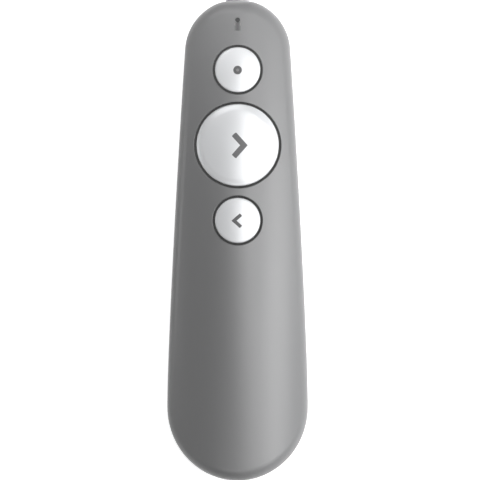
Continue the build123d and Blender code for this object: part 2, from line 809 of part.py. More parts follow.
with BuildPart() as receiver_cap:
    with BuildSketch(Plane.XZ.offset(-cap_front)):
        with Locations((0, receiver_level)):
            RectangleRounded(receiver_width, receiver_height, receiver_corner)
    extrude(amount=2 * receiver_cap_length)
    add(tail_prism.part, mode=Mode.INTERSECT)
    # groove for a fingernail
    nail_low = receiver_level - nail_height / 2
    nail_front = receiver_tail + nail_depth
    nail_high = nail_low + nail_height
    slab(nail_width / 2, 2 * tail_y, nail_front, nail_low, nail_high, mode=Mode.SUBTRACT)
receiver_cap.part.label = "receiver_cap"
export_step(receiver_cap.part, "parts/receiver_cap.step")

with BuildPart() as usb_shell:
    with BuildSketch(Plane.XZ.offset(-cap_front)):
        with Locations((0, receiver_level)):
            Rectangle(plug_width, plug_height)
            Rectangle(plug_width - 2 * plug_sheet, plug_height - 2 * plug_sheet, mode=Mode.SUBTRACT)
    extrude(amount=-plug_length)
    with BuildSketch(Plane.XY):
        with Locations((0, (cap_front + plug_front) / 2)):
            with GridLocations(plug_width / 2, 1, 2, 1):
                Rectangle(plug_window, plug_window)
    extrude(amount=crown_height, mode=Mode.SUBTRACT)
usb_shell.part.label = "usb_shell"
export_step(usb_shell.part, "parts/usb_shell.step")

insulator_low = receiver_level - plug_height / 2 + plug_sheet
insulator_top = insulator_low + insulator_height
with BuildPart() as usb_insulator:
    slab(plug_width / 2 - plug_sheet, cap_front, plug_front - plug_sheet, insulator_low, insulator_top)
usb_insulator.part.label = "usb_insulator"
export_step(usb_insulator.part, "parts/usb_insulator.step")

with BuildPart() as usb_strips:
    with BuildSketch(Plane.XY.offset(insulator_top)):
        with Locations((0, plug_front - plug_sheet - strip_length / 2 - strip_width)):
            with GridLocations(strip_pitch, 1, 4, 1):
                Rectangle(strip_width, strip_length)
    extrude(amount=strip_thickness)
usb_strips.part.label = "usb_strips"
export_step(usb_strips.part, "parts/usb_strips.step")

# ---------------------------------------------------------------- case screws
for name, side in (("screw_left", -1), ("screw_right", 1)):
    with BuildPart() as screw:
        post(side * screw_x, screw_y, screw_head, screw_seat - screw_head_height, screw_seat)
        post(side * screw_x, screw_y, screw_shank, screw_seat, parting_height + screw_bite)
        with BuildSketch(Plane.XY.offset(screw_seat - screw_head_height)):
            with Locations((side * screw_x, screw_y)):
                Rectangle(screw_recess, screw_recess / 4)
                Rectangle(screw_recess / 4, screw_recess)
        extrude(amount=screw_head_height / 2, mode=Mode.SUBTRACT)
    screw.part.label = name
    export_step(screw.part, "parts/" + name + ".step")
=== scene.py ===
# %% [markdown]
# # A wireless presentation clicker
#
# The clicker is a pebble-shaped remote: a grey moulded cover and case, three silver buttons, a laser in the
# nose, two cells under a sliding door and a small radio receiver kept in the tail. The solids already have
# its true sizes. This notebook gives them their finishes, turns finer caps for the buttons, lays the marks
# on them, and lights and frames the whole like a plain studio picture taken from straight above.
#
# Shapes are worked out in millimetres. A length that goes to Blender is in metres, so one that is written in
# millimetres is multiplied by mm. The nose points along +Y, the buttons face +Z.

import bmesh
import bpy
import numpy as np
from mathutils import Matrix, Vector


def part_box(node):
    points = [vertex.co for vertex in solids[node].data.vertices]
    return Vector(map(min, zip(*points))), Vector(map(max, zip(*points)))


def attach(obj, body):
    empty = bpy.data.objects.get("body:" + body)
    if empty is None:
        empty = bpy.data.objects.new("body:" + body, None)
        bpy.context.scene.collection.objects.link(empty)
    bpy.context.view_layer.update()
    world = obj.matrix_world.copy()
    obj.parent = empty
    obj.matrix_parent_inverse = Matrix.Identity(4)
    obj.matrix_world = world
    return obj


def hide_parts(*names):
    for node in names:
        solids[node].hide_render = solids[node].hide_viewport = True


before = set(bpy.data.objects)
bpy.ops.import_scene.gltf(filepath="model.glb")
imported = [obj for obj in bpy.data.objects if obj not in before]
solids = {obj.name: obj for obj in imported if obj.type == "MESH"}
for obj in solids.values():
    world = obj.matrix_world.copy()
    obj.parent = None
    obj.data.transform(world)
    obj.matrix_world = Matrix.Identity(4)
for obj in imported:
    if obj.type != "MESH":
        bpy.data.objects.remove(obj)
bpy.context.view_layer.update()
mm = 0.001

# %% [markdown]
# ## The camera
#
# A product picture from above is taken from far away with a long lens, so that the button tops and the wider
# waist below them show at one scale. The camera hangs 5 m over the clicker and looks straight down, with
# the nose at the top of the picture. The picture is square and about 130 mm wide at the clicker's waist,
# which crops the laser's bezel a little. The focal length follows from that: sensor width times distance,
# over the width that is to be seen.

# %% Camera
picture_width = 130.3 * mm
picture_middle = Vector((0.65 * mm, 0.0, 0.0))
waist_height = 12 * mm
camera_height = 5.0
sensor_width = 36.0

camera_data = bpy.data.cameras.new("overhead_camera")
camera_data.sensor_width = sensor_width
camera_data.lens = sensor_width * (camera_height - waist_height) / picture_width
camera = bpy.data.objects.new("overhead_camera", camera_data)
camera.location = picture_middle + Vector((0, 0, camera_height))
bpy.context.scene.collection.objects.link(camera)
bpy.context.scene.camera = camera
bpy.context.scene.view_settings.view_transform = "Standard"
print("focal length, mm:", round(camera_data.lens, 1))

# %% [markdown]
# ## Two small helpers for nodes
#
# Shader nodes are set and linked in many places below. One helper sets the plain values of a node's sockets
# by their names, the other places a Math node and links whatever it is given, so that a formula in nodes
# takes one line for each step.

# %% Node helpers


def set_inputs(node, **values):
    """Sets plain values on a node's sockets by name, with _ for each space in a name."""
    for name, value in values.items():
        node.inputs[name.replace("_", " ")].default_value = value
    return node


def add_math(nodes, links, operation, *values):
    """A Math node whose inputs are sockets or plain numbers; hands back its result."""
    node = nodes.new("ShaderNodeMath")
    node.operation = operation
    for socket, value in zip(node.inputs, values):
        if isinstance(value, (int, float)):
            socket.default_value = value
        else:
            links.new(value, socket)
    return node.outputs[0]


# %% [markdown]
# ## The light
#
# The light comes mostly from the right. A satin skin that leans seventeen degrees sends a lamp at thirty-four
# degrees straight back to the camera, so a soft box at that angle draws the broad bright band along the
# right flank, and others carry it from the crown down to the rim. One hangs nearly overhead, so that the
# right halves of the buttons shine and their left halves don't. One beyond the nose and one beyond the tail
# show as pale crescents where the buttons roll over at their edges. The left flank is in half shade, with a
# weak low lamp that traces its rim.
#
# Each lamp is placed by two angles: its turn about the clicker, counted from the right, and its lean from
# straight overhead. It serves either the reflections or the matt shading, as crossed polarisers allow in a
# real studio, so both can be balanced on their own: a low lamp that lights the matt grey well would
# otherwise be mirrored in the rounded rim as a hard white bar. One small card close to the nose lifts its
# matt shade a little.
#
# Camera rays, and rays that a glossy or clear surface sends on, see a pure white surrounding. All other
# rays get the weak fill, so the white does not wash out the shading.

# %% World
fill_level = 0.01


def white_for_seen_rays(nodes, links, unseen, seen):
    """Strength socket that is seen for camera, glossy and transmission rays, and unseen for all others."""
    path = nodes.new("ShaderNodeLightPath")
    rays = add_math(nodes, links, "MAXIMUM", path.outputs["Is Camera Ray"], path.outputs["Is Glossy Ray"])
    rays = add_math(nodes, links, "MAXIMUM", rays, path.outputs["Is Transmission Ray"])
    spread = set_inputs(nodes.new("ShaderNodeMapRange"), To_Min=unseen, To_Max=seen)
    links.new(rays, spread.inputs["Value"])
    return spread.outputs["Result"]


world = bpy.data.worlds.new("white_studio")
bpy.context.scene.world = world
world.use_nodes = True
world_nodes = world.node_tree.nodes
world_links = world.node_tree.links
background = set_inputs(world_nodes["Background"], Color=(1, 1, 1, 1))
world_strength = white_for_seen_rays(world_nodes, world_links, fill_level, 1.0)
world_links.new(world_strength, background.inputs["Strength"])
print("world fill:", fill_level)

# %% Lamps
lamp_distance = 0.9
at_waist = (0, 0, waist_height)

# A row is a lamp's name, turn and lean in degrees, width and length in metres, and power in watts.
shine_lamps = (
    ("right_top", 0, 12, 0.70, 0.25, 1.33),
    ("right_softbox", 0, 34, 0.50, 0.30, 1.48),
    ("right_middle", 0, 48, 0.30, 0.30, 0.95),
    ("tail_softbox", -45, 38, 0.50, 0.40, 1.2),
    ("tail_side", -30, 50, 0.50, 0.30, 1.3),
    ("left_rim", 180, 75, 0.30, 0.30, 0.49),
    ("nose_softbox", 110, 45, 0.60, 0.50, 1.2),
    ("tail_glow", -95, 42, 0.50, 0.30, 0.6),
)
matt_lamps = (
    ("matt_top", 0, 5, 0.30, 0.30, 3.3),
    ("matt_low", 0, 80, 0.30, 0.30, 11.0),
)
nose_card = ("nose_card", 110, 35, 0.03, 0.03, 0.015)
over_nose = (0, 0.058, 0.020)
card_distance = 0.055


def soft_lamp(name, turn, lean, width, length, power, middle=at_waist, distance=lamp_distance):
    """A soft box at two angles, in degrees, that faces a middle; length is its side along the lean."""
    data = bpy.data.lights.new(name, "AREA")
    data.shape = "RECTANGLE"
    data.size = width
    data.size_y = length
    data.energy = power
    lamp = bpy.data.objects.new(name, data)
    turn, lean = np.radians(turn), np.radians(lean)
    way = Vector((np.sin(lean) * np.cos(turn), np.sin(lean) * np.sin(turn), np.cos(lean)))
    lamp.location = Vector(middle) + distance * way
    lamp.rotation_euler = (-way).to_track_quat("-Z", "Y").to_euler()
    lamp.visible_camera = False
    bpy.context.scene.collection.objects.link(lamp)
    print(name, "at", [round(c, 2) for c in lamp.location], "W:", power)
    return lamp


for row in shine_lamps:
    soft_lamp(*row).visible_diffuse = False
for row in matt_lamps:
    soft_lamp(*row).visible_glossy = False
soft_lamp(*nose_card, middle=over_nose, distance=card_distance).visible_glossy = False

# %% [markdown]
# ## The floor
#
# The clicker lies on a wide white sheet, which is a hair lower than its foot so that the two faces never
# coincide. To the camera and in reflections the sheet also glows, nearly as bright as white itself, so it
# renders as plain white and keeps only the soft shadow close under the clicker. For the light that bounces
# about it is an ordinary matt white.

# %% Floor
floor_half = 4.0
floor_drop = 0.05 * mm
floor_glow = 0.92

floor_mesh = bpy.data.meshes.new("studio_floor")
floor_corners = floor_half * np.array([(-1, -1, 0), (1, -1, 0), (1, 1, 0), (-1, 1, 0)], float)
floor_corners[:, 2] = -floor_drop
floor_mesh.from_pydata(floor_corners.tolist(), [], [(0, 1, 2, 3)])
floor = bpy.data.objects.new("studio_floor", floor_mesh)
bpy.context.scene.collection.objects.link(floor)

paper = bpy.data.materials.new("white_paper")
paper.use_nodes = True
paper_nodes = paper.node_tree.nodes
paper_links = paper.node_tree.links
paper_shader = set_inputs(
    paper_nodes["Principled BSDF"],
    Base_Color=(0.8, 0.8, 0.8, 1),
    Roughness=0.9,
    Specular_IOR_Level=0.0,
    Emission_Color=(1, 1, 1, 1),
)
paper_strength = white_for_seen_rays(paper_nodes, paper_links, 0.0, floor_glow)
paper_links.new(paper_strength, paper_shader.inputs["Emission Strength"])
floor_mesh.materials.append(paper)
print("floor:", 2 * floor_half, "m square")

# %% [markdown]
# ## Finishes
#
# Every finish starts from one shader, the Principled BSDF, whose plain values are set on its own sockets.
# What several finishes share is put into node groups, which only hand out numbers and colours:
#
# * **moulded grain** is the fine pitted texture that a spark-eroded mould leaves on plastic;
# * **tone drift** is the slight, slow change of colour over a moulding or a painted part;
# * **distance from axis** tells which side of a round line a point is on.

# %% An empty node group


def new_group(name, takes, gives):
    """An empty shader group: takes and gives list its input and output sockets as (name, kind, default)."""
    group = bpy.data.node_groups.new(name, "ShaderNodeTree")
    for socket, kind, default in takes:
        item = group.interface.new_socket(socket, in_out="INPUT", socket_type=kind)
        if default is not None:
            item.default_value = default
    for socket, kind in gives:
        group.interface.new_socket(socket, in_out="OUTPUT", socket_type=kind)
    start = group.nodes.new("NodeGroupInput")
    end = group.nodes.new("NodeGroupOutput")
    print("group:", name)
    return group, start, end


# %% Moulded grain
pit_depth = 0.03 * mm

grain_group, grain_in, grain_out = new_group(
    "moulded_grain",
    [("Grains per metre", "NodeSocketFloat", 5000.0), ("Depth", "NodeSocketFloat", 0.4)],
    [("Normal", "NodeSocketVector"), ("Pits", "NodeSocketFloat")],
)
grain_nodes = grain_group.nodes
grain_links = grain_group.links
grain_place = grain_nodes.new("ShaderNodeTexCoord")
pits = set_inputs(grain_nodes.new("ShaderNodeTexNoise"), Detail=3.0, Roughness=0.6)
grain_links.new(grain_place.outputs["Object"], pits.inputs["Vector"])
grain_links.new(grain_in.outputs["Grains per metre"], pits.inputs["Scale"])
grain_bump = set_inputs(grain_nodes.new("ShaderNodeBump"), Distance=pit_depth)
grain_links.new(grain_in.outputs["Depth"], grain_bump.inputs["Strength"])
grain_links.new(pits.outputs["Fac"], grain_bump.inputs["Height"])
grain_links.new(grain_bump.outputs["Normal"], grain_out.inputs["Normal"])
grain_links.new(pits.outputs["Fac"], grain_out.inputs["Pits"])

# %% Tone drift: colour x (1 + amount x (noise - 0.5))
drift_group, drift_in, drift_out = new_group(
    "tone_drift",
    [
        ("Colour", "NodeSocketColor", None),
        ("Amount", "NodeSocketFloat", 0.04),
        ("Patches per metre", "NodeSocketFloat", 60.0),
    ],
    [("Colour", "NodeSocketColor")],
)
drift_nodes = drift_group.nodes
drift_links = drift_group.links
drift_place = drift_nodes.new("ShaderNodeTexCoord")
patches = set_inputs(drift_nodes.new("ShaderNodeTexNoise"), Detail=4.0)
drift_links.new(drift_place.outputs["Object"], patches.inputs["Vector"])
drift_links.new(drift_in.outputs["Patches per metre"], patches.inputs["Scale"])
swing = add_math(drift_nodes, drift_links, "SUBTRACT", patches.outputs["Fac"], 0.5)
swing = add_math(drift_nodes, drift_links, "MULTIPLY", swing, drift_in.outputs["Amount"])
gain = add_math(drift_nodes, drift_links, "ADD", swing, 1.0)
drift_scale = drift_nodes.new("ShaderNodeVectorMath")
drift_scale.operation = "SCALE"
drift_links.new(drift_in.outputs["Colour"], drift_scale.inputs[0])
drift_links.new(gain, drift_scale.inputs["Scale"])
drift_links.new(drift_scale.outputs["Vector"], drift_out.inputs["Colour"])

# %% [markdown]
# The third group measures how far a point is from an upright axis. With it each button is painted near-black
# below its rim, as painted shade for the narrow gap round the button. The same measure paints the walls of
# the round holes dark, also as painted shade in that gap. A picture could mask both, but a distance needs no
# picture and stays exact at any scale.

# %% Distance from an axis
axis_group, axis_in, axis_out = new_group(
    "distance_from_axis",
    [("Centre", "NodeSocketVector", None), ("Radius", "NodeSocketFloat", 0.005)],
    [("Outside", "NodeSocketFloat"), ("Inside", "NodeSocketFloat")],
)
axis_nodes = axis_group.nodes
axis_links = axis_group.links
axis_place = axis_nodes.new("ShaderNodeTexCoord")
from_centre = axis_nodes.new("ShaderNodeVectorMath")
from_centre.operation = "SUBTRACT"
axis_links.new(axis_place.outputs["Object"], from_centre.inputs[0])
axis_links.new(axis_in.outputs["Centre"], from_centre.inputs[1])
flattened = axis_nodes.new("ShaderNodeVectorMath")
flattened.operation = "MULTIPLY"
flattened.inputs[1].default_value = (1, 1, 0)
axis_links.new(from_centre.outputs["Vector"], flattened.inputs[0])
span = axis_nodes.new("ShaderNodeVectorMath")
span.operation = "LENGTH"
axis_links.new(flattened.outputs["Vector"], span.inputs[0])
outside = add_math(axis_nodes, axis_links, "GREATER_THAN", span.outputs["Value"], axis_in.outputs["Radius"])
axis_links.new(outside, axis_out.inputs["Outside"])
inside = add_math(axis_nodes, axis_links, "SUBTRACT", 1.0, outside)
axis_links.new(inside, axis_out.inputs["Inside"])

# %% [markdown]
# ## Starting a finish
#
# The helper `finish` joins the groups to a Principled shader. Its numbers always come in one order: the
# colour, how far it drifts, how many patches of drift there are in a metre, the roughness, how far that
# swings with the pits, how many grains there are in a metre, and how deep they show. `mix_in` lays a second
# colour over the first where a mask says so, and `dress` gives the finish to solids by their names.

# %% Helpers that make a finish


def add_group(nodes, group, **values):
    """A group node in a material, with plain values on its sockets."""
    node = nodes.new("ShaderNodeGroup")
    node.node_tree = group
    return set_inputs(node, **values)


def finish(name, colour, drift, patches_per_metre, roughness, rough_swing, grains, depth, **plain):
    """A Principled finish: a colour that drifts, a roughness that follows the grain, and the grain's bump.

    Colour = colour x (1 + drift x (noise - 0.5)); roughness = roughness + rough_swing x (pits - 0.5).
    The other plain values are set straight on the shader's sockets.
    """
    material = bpy.data.materials.new(name)
    material.use_nodes = True
    nodes = material.node_tree.nodes
    links = material.node_tree.links
    shader = set_inputs(nodes["Principled BSDF"], **plain)
    tone = add_group(
        nodes, drift_group, Colour=(*colour, 1), Amount=drift, Patches_per_metre=patches_per_metre
    )
    links.new(tone.outputs["Colour"], shader.inputs["Base Color"])
    grain = add_group(nodes, grain_group, Grains_per_metre=grains, Depth=depth)
    links.new(grain.outputs["Normal"], shader.inputs["Normal"])
    uneven = add_math(
        nodes, links, "MULTIPLY_ADD", grain.outputs["Pits"], rough_swing, roughness - rough_swing / 2
    )
    links.new(uneven, shader.inputs["Roughness"])
    return material


# %% Helpers that mask and place a finish


def mix_in(material, mask, colour):
    """Lays a second colour over the finish where the mask is 1."""
    nodes = material.node_tree.nodes
    links = material.node_tree.links
    base = nodes["Principled BSDF"].inputs["Base Color"]
    mix = nodes.new("ShaderNodeMix")
    mix.data_type = "RGBA"
    links.new(mask, mix.inputs["Factor"])
    links.new(base.links[0].from_socket, mix.inputs["A"])
    mix.inputs["B"].default_value = (*colour, 1)
    links.new(mix.outputs["Result"], base)


def round_axis(material, place_y, radius, side):
    """Mask that is 1 inside or outside a radius round the upright axis over place_y, both in millimetres."""
    centre = (0, place_y * mm, 0)
    measure = add_group(material.node_tree.nodes, axis_group, Centre=centre, Radius=radius * mm)
    return measure.outputs[side]


def dress(material, *names):
    """Gives a finish to solids by name."""
    for name in names:
        for slot in solids[name].material_slots:
            slot.material = material
    print(material.name, "on", ", ".join(names))


# %% [markdown]
# ## Where the buttons are
#
# The holes in the cover, the lacquer, the caps and the marks all need the buttons' places and sizes, so they
# are written once, in millimetres. A dome stands over the cover's crown, which itself is a shallow arc from
# nose to tail, so a button near the nose leans forward a little. A shoulder is the width over which the edge
# of a cap rolls over.

# %% Places and sizes of the buttons
button_domes = {
    "laser": dict(middle=46.1, stand=0.7, across=26.0, along=60.0),
    "next": dict(middle=25.7, stand=0.9, across=33.0, along=90.0),
    "back": dict(middle=5.3, stand=0.7, across=26.0, along=60.0),
}
cap_radii = {"laser": 6.15, "next": 11.15, "back": 6.15}
shoulder_widths = {"laser": 0.7, "next": 2.1, "back": 0.7}
print("buttons:", ", ".join(button_domes))

# %% [markdown]
# ## Cover, case and door
#
# All three are injection-moulded in a mid grey with a fine satin texture. Pitting about a fifth of a
# millimetre across breaks up the shine without being seen as spots from a hand's distance.

# %% Grey mouldings
cover_grey = (0.185, 0.186, 0.189)
# Near-black for the walls of the holes round the buttons: painted shade for the gap, not a part of its own.
hole_wall_shade = (0.052, 0.052, 0.052)
hole_shade_reach = 0.60

cover_finish = finish(
    "satin_grey_cover", cover_grey, 0.05, 70, 0.34, 0.08, 5200, 0.30, Specular_IOR_Level=0.8
)
case_finish = finish("satin_grey_case", cover_grey, 0.05, 70, 0.38, 0.08, 4600, 0.36, Specular_IOR_Level=0.7)
# Inside each hole's radius the cover is painted dark: painted shade in the gap round the button.
for name, dome in button_domes.items():
    hole_shade = round_axis(cover_finish, dome["middle"], cap_radii[name] + hole_shade_reach, "Inside")
    mix_in(cover_finish, hole_shade, hole_wall_shade)
dress(cover_finish, "top_cover")
dress(case_finish, "bottom_case", "battery_door")

# %% [markdown]
# ## Silver lacquer
#
# The buttons are lacquered silver-white and much glossier than the cover. Under the clear coat lie fine
# metal flakes, which show as a very faint sparkle and give the paint its cool, slightly metallic shading.
# Each button has a lacquer of its own, because the line where its painted shade begins, just inside the rim,
# is measured from that button's axis.

# %% Silver buttons
silver = (0.70, 0.71, 0.725)
# Near-black for the cap below its rim: painted shade for the gap round the button.
skirt_shade_black = (0.052, 0.052, 0.052)
shade_inset = 0.02

lacquers = {}
for name, dome in button_domes.items():
    lacquer = finish(
        name + "_lacquer",
        silver, 0.03, 160, 0.30, 0.10, 9000, 0.06,
        Metallic=0.25, Coat_Weight=0.6, Coat_Roughness=0.12,
    )
    # From just inside the rim outwards the cap is painted near-black: painted shade in the gap.
    skirt_shade = round_axis(lacquer, dome["middle"], cap_radii[name] - shade_inset, "Outside")
    mix_in(lacquer, skirt_shade, skirt_shade_black)
    lacquers[name] = lacquer
    dress(lacquer, name + "_button")

# %% [markdown]
# ## The buttons' domes
#
# Caps and marks have to follow the buttons' domes, so the height of a dome over any point comes first. A dome
# is a ring turned about an axis across the clicker: its profile across is one cubic curve close to an arc,
# and that profile is swept along a much larger arc from tail to nose. It stands on the cover's crown, an arc
# of 340 mm radius whose highest point lies 54.7 mm behind the nose.

# %% Height of a dome
nose_end = 64.7
crown_setback = 54.7
crown_middle = nose_end - crown_setback
crown_top = 26.0
crown_along = 340.0
bow_share = 0.85
profile_steps = 4001


def cubic(knots, t):
    """Cubic curve of four knots: (1-t)^3 a + 3 t (1-t)^2 b + 3 t^2 (1-t) c + t^3 d."""
    weights = np.stack([(1 - t) ** 3, 3 * t * (1 - t) ** 2, 3 * t**2 * (1 - t), t**3], axis=1)
    return weights @ np.array(knots, float)


def dome_height(x, y, middle, stand, across, along):
    """Height of a button's dome over (x, y), all in millimetres.

    The profile across is the cubic curve through (+-h, e) with handles (+-p, q), which follows an arc of
    radius across over the half angle asin(bow_share). Its fall below the crest shortens the swept radius:
    height = axis + sqrt((along - fall(x))^2 - (y - axis y)^2).
    """
    spread = np.arcsin(bow_share)
    half = bow_share * across
    edge = across * (1 - np.cos(spread))
    handle = across * np.tan(spread / 2) * 4 / 3
    inner, low = half - handle * np.cos(spread), edge - handle * np.sin(spread)
    knots = [(-half, edge), (-inner, low), (inner, low), (half, edge)]
    curve = cubic(knots, np.linspace(0, 1, profile_steps))
    fall = np.interp(x, curve[:, 0], curve[:, 1])
    slope = (middle - crown_middle) / crown_along
    axis_y = middle - along * slope
    crown_here = crown_top - crown_along + np.sqrt(crown_along**2 - (middle - crown_middle) ** 2)
    crest = crown_here + stand + along * (1 - np.sqrt(1 - slope**2))
    return crest - along + np.sqrt((along - fall) ** 2 - (y - axis_y) ** 2)


for name, dome in button_domes.items():
    top = float(dome_height(0.0, dome["middle"], **dome))
    solid_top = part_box(name + "_button")[1].z / mm
    print(name, "dome top, mm:", round(top, 2), "solid's box top:", round(solid_top, 2))

# %% [markdown]
# ## From a grid of points to a mesh
#
# Every cap and mark is a grid of points with one direction round its section and one along it. Both may
# close on themselves, and where an end narrows to a point the doubled vertices are merged, so the skin is
# closed. Spinning a profile with Blender's own tool would give the caps too, but not the domes' fall to the
# sides, which changes from point to point.

# %% Helpers that make the mesh
merge_distance = 1e-5 * mm


def full_turn(steps):
    """The angles of a full turn, without the last one, which would double the first."""
    return np.linspace(0, 2 * np.pi, steps, endpoint=False)


def close_seams(mesh):
    """Merges doubled vertices, drops what they leave without a face, and turns all faces outwards."""
    work = bmesh.new()
    work.from_mesh(mesh)
    bmesh.ops.remove_doubles(work, verts=work.verts, dist=merge_distance)
    loose = [edge for edge in work.edges if not edge.link_faces]
    bmesh.ops.delete(work, geom=loose, context="EDGES")
    bmesh.ops.recalc_face_normals(work, faces=work.faces)
    work.to_mesh(mesh)
    work.free()


def skin_of(name, points, closed_along):
    """A closed mesh from points of shape (along, round, 3) in millimetres; round always closes."""
    along, around = points.shape[:2]
    row = np.arange(along if closed_along else along - 1)[:, None]
    column = np.arange(around)[None, :]
    next_row = (row + 1) % along
    next_column = (column + 1) % around
    corners = (
        row * around + column,
        row * around + next_column,
        next_row * around + next_column,
        next_row * around + column,
    )
    quads = np.stack(np.broadcast_arrays(*corners), axis=-1).reshape(-1, 4)
    mesh = bpy.data.meshes.new(name)
    mesh.from_pydata((points.reshape(-1, 3) * mm).tolist(), [], quads.tolist())
    close_seams(mesh)
    mesh.polygons.foreach_set("use_smooth", np.ones(len(mesh.polygons), bool))
    piece = bpy.data.objects.new(name, mesh)
    bpy.context.scene.collection.objects.link(piece)
    print(name, "vertices:", len(mesh.vertices), "faces:", len(mesh.polygons))
    return piece


# %% Helper that turns a profile


def turned(name, dome, turn, place, radius, share, level):
    """Profile turned round the button's middle, shifted by place along Y: height = share x dome + level."""
    x = np.cos(turn)[:, None] * radius[None, :]
    y = np.sin(turn)[:, None] * radius[None, :] + dome["middle"] + place
    height = share * dome_height(x, y, **dome) + level
    return skin_of(name, np.stack([x, y, height], axis=-1), closed_along=True)


# %% [markdown]
# ## Button caps
#
# A real button rolls over near its rim in a soft shoulder, which mirrors the lamps beyond the nose and the
# tail as pale crescents. The solid has a plain dome there, so each button is turned afresh: a shoulder leaves
# the dome with the same slope and steepens evenly to the rim, a small round leads into the upright wall, and
# below the cover the flange, the hollow and the stem are those of the solid.

# %% The top and rim of a cap
shoulder_slope = np.tan(np.radians(22))
rim_round = 0.35
rim_fall = 1.3 * rim_round
rim_handle = 0.55 * rim_round
top_steps, shoulder_steps, rim_steps = 26, 14, 10


def cap_top(cap_radius, shoulder):
    """Radii and levels from the middle to the wall; the levels count from the dome.

    Over the shoulder the level falls by slope x width x t^2 / 2, t running from 0 to 1 over its width. The
    rim is a cubic curve that starts with the slope reached there and ends upright.
    """
    inner = cap_radius - shoulder
    over_dome = np.linspace(0, inner, top_steps)
    over_shoulder = np.linspace(inner, cap_radius - rim_round, shoulder_steps)[1:]
    radius = np.concatenate([over_dome, over_shoulder])
    fallen = np.clip((radius - inner) / shoulder, 0, 1)
    level = -shoulder_slope * shoulder / 2 * fallen**2
    slope = shoulder_slope * (1 - rim_round / shoulder)
    rim_end = level[-1] - rim_fall
    knots = [
        (radius[-1], level[-1]),
        (radius[-1] + rim_handle, level[-1] - rim_handle * slope),
        (cap_radius, rim_end + rim_handle),
        (cap_radius, rim_end),
    ]
    rim = cubic(knots, np.linspace(0, 1, rim_steps)[1:])
    return np.concatenate([radius, rim[:, 0]]), np.concatenate([level, rim[:, 1]])


for name, cap_radius in cap_radii.items():
    top_level = cap_top(cap_radius, shoulder_widths[name])[1]
    print(name, "rim ends below the dome, mm:", round(float(-top_level[-1]), 2))

# %% Crisp corners for the underside
corner_step = 0.05


def with_corner_steps(corners):
    """A polyline's corners, each with a point a short step before and after it, to keep its edge crisp."""
    corners = np.array(corners, float)
    way = np.diff(corners, axis=0)
    step = way / np.linalg.norm(way, axis=1)[:, None] * corner_step
    points = [corners[0]]
    for here, there, one in zip(corners[:-1], corners[1:], step):
        points += [here + one, there - one, there]
    return np.array(points)


# %% The three caps
flange_top, flange_under, stem_under = 20.85, 19.85, 18.90
wall_rise = 1.0
flange_reach, cap_wall, stem_radius = 1.05, 1.30, 2.30
roof_steps = 12
cap_turn = full_turn(160)


def button_cap(name, dome, cap_radius, shoulder):
    """A whole button: top and rim follow the dome, wall and flange don't, the hollow's roof does again."""
    top_radius, top_level = cap_top(cap_radius, shoulder)
    hollow = cap_radius - cap_wall
    wall = with_corner_steps([
        (cap_radius, flange_top + wall_rise),
        (cap_radius, flange_top),
        (cap_radius + flange_reach, flange_top),
        (cap_radius + flange_reach, flange_under),
        (hollow, flange_under),
        (hollow, flange_top),
    ])
    roof = np.linspace(hollow, stem_radius, roof_steps)
    stem = with_corner_steps([(stem_radius, flange_under), (stem_radius, stem_under), (0.0, stem_under)])
    radius = np.concatenate([top_radius, wall[:, 0], roof, stem[:, 0]])
    level = np.concatenate([top_level, wall[:, 1], np.full(roof.size, -cap_wall), stem[:, 1]])
    parts = (top_radius.size, len(wall), roof.size, len(stem))
    share = np.repeat([1.0, 0.0, 1.0, 0.0], parts)
    return turned(name, dome, cap_turn, 0.0, radius, share, level)


for name, dome in button_domes.items():
    cap = button_cap(name + "_cap", dome, cap_radii[name], shoulder_widths[name])
    cap.data.materials.append(lacquers[name])
    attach(cap, name + "_key")
    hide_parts(name + "_button")

# %% [markdown]
# ## Marks on the buttons
#
# Each button carries a plain sign in dark grey: a ring for the laser, an arrowhead for the next slide and a
# smaller one for the slide before. On the real buttons they are thin inlays that lie a hair proud of the
# lacquer. A shader could paint them on, but as pieces of their own they keep a crisp edge from any distance
# and catch the light along their rounded rim. All of them share one section, a rounded rectangle that
# reaches a little into the button.

# %% Section of an inlay
mark_proud = 0.03
mark_sunk = 0.12
squareness = 0.35
section_turn = full_turn(28)


def squared(wave):
    """A sine or cosine wave pushed out towards a square one: sign x |wave|^squareness."""
    return np.sign(wave) * np.abs(wave) ** squareness


section_across = squared(np.cos(section_turn))
section_height = (mark_proud - mark_sunk) / 2 + squared(np.sin(section_turn)) * (mark_proud + mark_sunk) / 2
print("section points:", len(section_turn))

# %% [markdown]
# An arrowhead is that section carried along two straight arms that meet in a mitre. Its half width shrinks
# in the last bit before each end, by a rounded law, which gives blunt ends with small round corners.

# %% How an arrowhead is made
end_steps, arm_steps = 9, 14
bluntness = 4


